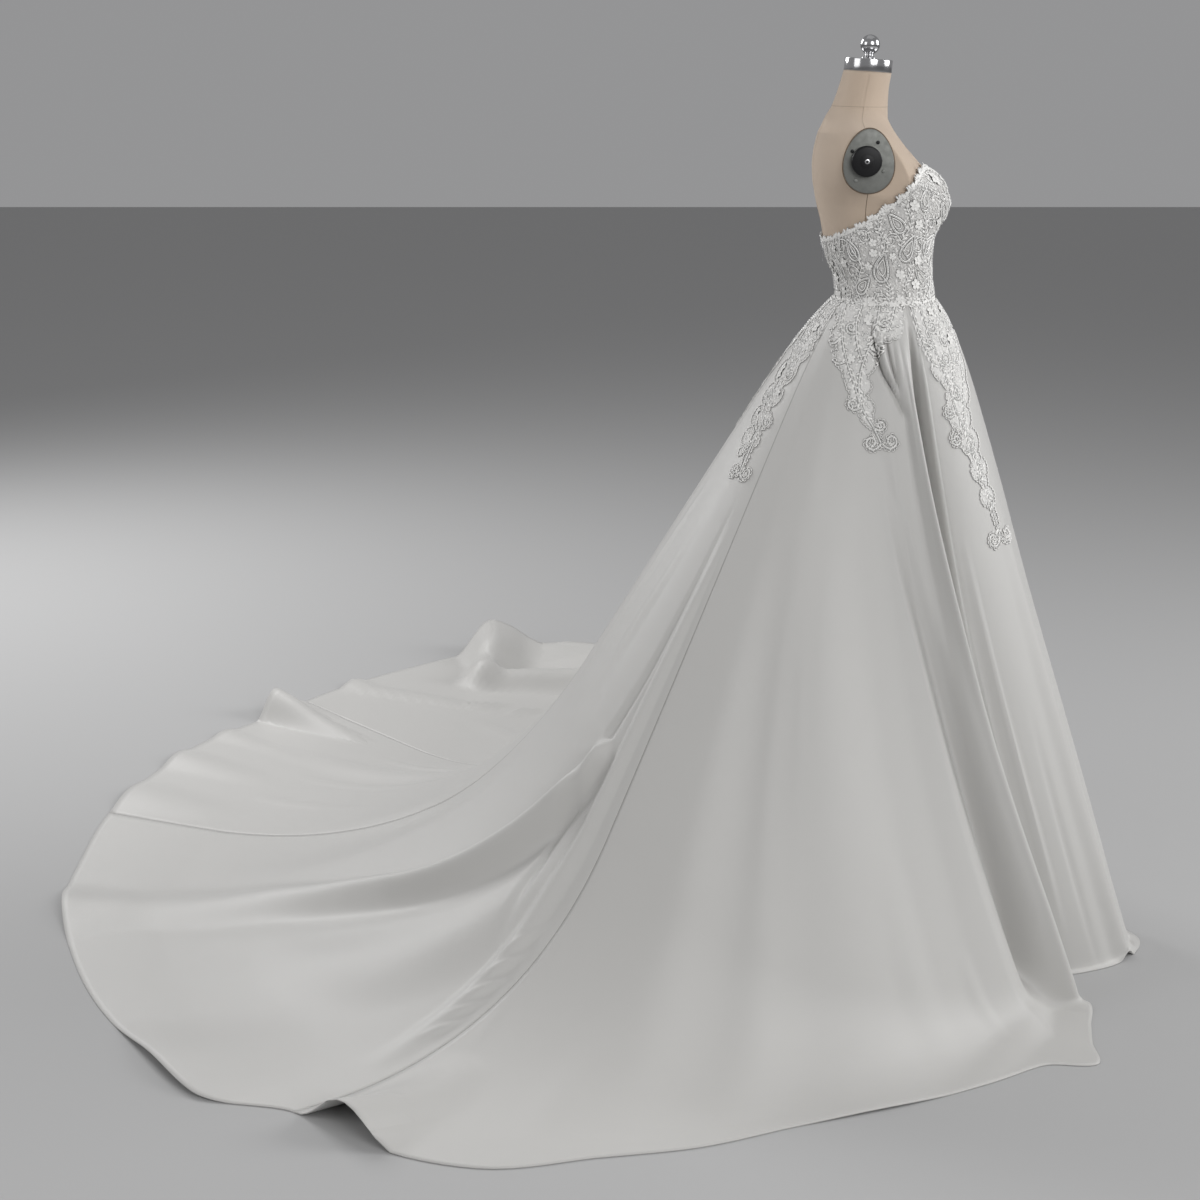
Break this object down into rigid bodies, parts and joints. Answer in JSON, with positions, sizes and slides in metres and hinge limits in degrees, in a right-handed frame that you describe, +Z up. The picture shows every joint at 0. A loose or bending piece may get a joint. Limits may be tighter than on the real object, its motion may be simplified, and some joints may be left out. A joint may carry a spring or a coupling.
{
  "type": "wedding dress on a dress form",
  "caption": "Strapless beaded-lace bodice and full satin skirt with a long train, on a limbless linen dress form with a neck cap, side plates, pole and round base.",
  "frame": {"origin": "centre of the stand base's underside, on the floor", "axes": "+X towards the front of the dress, +Y towards the wearer's left, +Z up"},
  "size_m": [2.0847, 2.8196, 1.6384],
  "materials": {
    "satin": "satin",
    "beaded_lace": "matte",
    "linen": "matte",
    "chrome": "polished",
    "steel": "satin",
    "black_plastic": "matte",
    "zip_tape": "matte",
    "nickel": "satin"
  },
  "bodies": {
    "dress_on_form": {"form_torso": "linen", "neck_cap": "chrome", "finial": "chrome", "armhole_plate_right": "steel", "armhole_plate_left": "steel", "armhole_knob_right": "black_plastic", "armhole_knob_left": "black_plastic", "stand_base": "chrome", "stand_pole": "chrome", "skirt_front": "satin", "skirt_side_right": "satin", "skirt_back_right": "satin", "skirt_back_left": "satin", "skirt_side_left": "satin", "bodice_front": "beaded_lace", "bodice_side_right": "beaded_lace", "bodice_back_right": "beaded_lace", "bodice_back_left": "beaded_lace", "bodice_side_left": "beaded_lace", "lace_front_right": "beaded_lace", "lace_front_left": "beaded_lace", "lace_hip_right": "beaded_lace", "lace_hip_left": "beaded_lace", "lace_back_right": "beaded_lace", "lace_back_left": "beaded_lace", "zip_tape": "zip_tape", "zip_slider": "nickel"},
    "zip_pull_tab": {"zip_pull": "nickel"}
  },
  "joints": [
    {"name": "zip_pull_swing", "type": "hinge", "parent": "dress_on_form", "child": "zip_pull_tab", "pos_m": [-0.10685, 0, 1.278], "axis": [0, 1, 0], "range_deg": [0, 120]}
  ]
}
